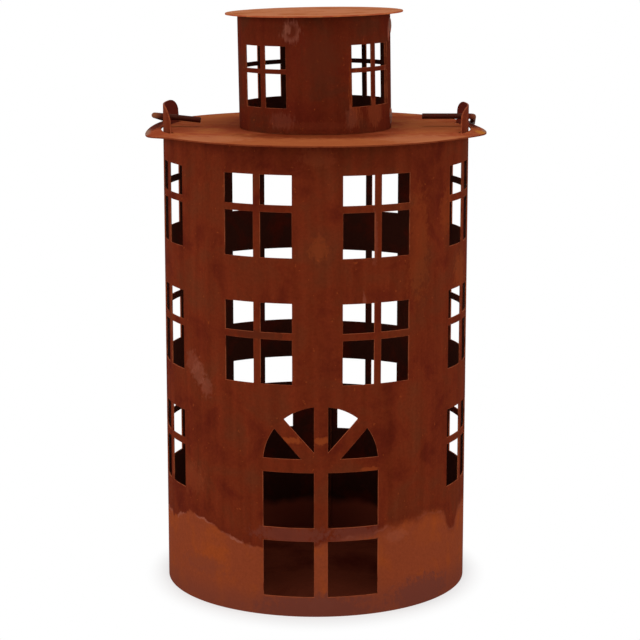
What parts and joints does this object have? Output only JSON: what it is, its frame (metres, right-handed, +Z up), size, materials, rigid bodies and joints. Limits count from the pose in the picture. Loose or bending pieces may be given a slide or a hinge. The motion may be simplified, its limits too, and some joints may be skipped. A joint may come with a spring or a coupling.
{
  "type": "metal lantern",
  "caption": "Round sheet-steel tower lantern with paned windows, a barred arched door, a loose lid with a small turret, and a wire bail.",
  "frame": {"origin": "middle of the base, on the underside of the floor plate", "axes": "+Z up the tower, -Y towards the barred door, +X to the right as seen from the door"},
  "size_m": [0.2414, 0.2983, 0.409],
  "materials": {
    "wall_steel": "even dark red-brown rust, matt",
    "plate_steel": "lighter orange-brown rust, matt",
    "wire_steel": "dark brown rust, slightly burnished",
    "weld_steel": "greyish scale over rust"
  },
  "bodies": {
    "tower": {"tower_wall_front": "wall_steel", "tower_wall_right": "wall_steel", "tower_wall_left": "wall_steel", "floor_plate": "plate_steel", "floor_weld_1": "weld_steel", "floor_weld_2": "weld_steel", "floor_weld_3": "weld_steel", "floor_weld_4": "weld_steel", "tower_seam_weld_1": "weld_steel", "tower_seam_weld_2": "weld_steel", "tower_seam_weld_3": "weld_steel", "tower_seam_weld_4": "weld_steel"},
    "lid": {"lid_plate": "plate_steel", "turret_wall": "wall_steel", "turret_roof": "plate_steel", "turret_foot_weld_1": "weld_steel", "turret_foot_weld_2": "weld_steel", "turret_foot_weld_3": "weld_steel", "turret_foot_weld_4": "weld_steel", "roof_weld_1": "weld_steel", "roof_weld_2": "weld_steel", "roof_weld_3": "weld_steel", "roof_weld_4": "weld_steel", "turret_seam_weld_1": "weld_steel", "turret_seam_weld_2": "weld_steel"},
    "bail": {"bail": "wire_steel"}
  },
  "joints": [
    {"name": "lid_lift", "type": "slide", "parent": "tower", "child": "lid", "axis": [0, 0, 1], "range_m": [0, 0.0034]},
    {"name": "bail_swing", "type": "hinge", "parent": "lid", "child": "bail", "pos_m": [0, 0, 0.3344], "axis": [1, 0, 0], "range_deg": [0, 196]}
  ]
}
